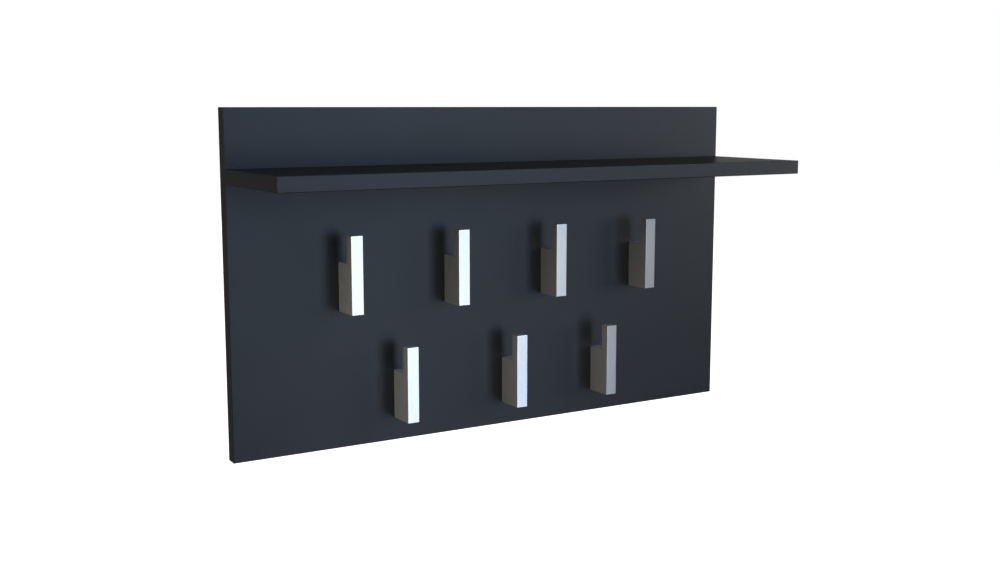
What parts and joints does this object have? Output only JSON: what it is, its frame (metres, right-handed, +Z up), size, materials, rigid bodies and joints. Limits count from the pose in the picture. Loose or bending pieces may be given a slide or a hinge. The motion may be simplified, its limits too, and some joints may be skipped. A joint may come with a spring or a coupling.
{
  "type": "wall coat rack",
  "caption": "Wall coat rack: a dark laminated back panel with a hat shelf across it and two staggered rows of L-shaped metal hooks, hung on hidden keyhole plates.",
  "frame": {"origin": "centre of the panel's back face, in the wall's plane", "axes": "+X to the right as a person faces the rack, +Y into the wall, +Z up"},
  "size_m": [0.75, 0.189, 0.43],
  "materials": {
    "laminated_board": "satin anthracite melamine face on chipboard",
    "edge_band": "satin anthracite plastic strip",
    "satin_nickel": "satin nickel on die-cast zinc",
    "zinc_plated_screw": "bright zinc plating on steel",
    "zinc_plated_plate": "zinc plating on pressed steel",
    "beech_dowel": "plain fluted beech"
  },
  "bodies": {
    "root": {"back_panel_board": "laminated_board", "shelf_board": "laminated_board", "back_panel_edge_top": "edge_band", "back_panel_edge_bottom": "edge_band", "back_panel_edge_left": "edge_band", "back_panel_edge_right": "edge_band", "shelf_edge_front": "edge_band", "shelf_edge_left": "edge_band", "shelf_edge_right": "edge_band", "hook_upper_1": "satin_nickel", "hook_upper_2": "satin_nickel", "hook_upper_3": "satin_nickel", "hook_upper_4": "satin_nickel", "hook_lower_1": "satin_nickel", "hook_lower_2": "satin_nickel", "hook_lower_3": "satin_nickel", "hook_upper_1_screws": "zinc_plated_screw", "hook_upper_2_screws": "zinc_plated_screw", "hook_upper_3_screws": "zinc_plated_screw", "hook_upper_4_screws": "zinc_plated_screw", "hook_lower_1_screws": "zinc_plated_screw", "hook_lower_2_screws": "zinc_plated_screw", "hook_lower_3_screws": "zinc_plated_screw", "shelf_screws": "zinc_plated_screw", "hanger_plate_left_screws": "zinc_plated_screw", "hanger_plate_right_screws": "zinc_plated_screw", "shelf_dowels": "beech_dowel", "hanger_plate_left": "zinc_plated_plate", "hanger_plate_right": "zinc_plated_plate"}
  },
  "joints": []
}
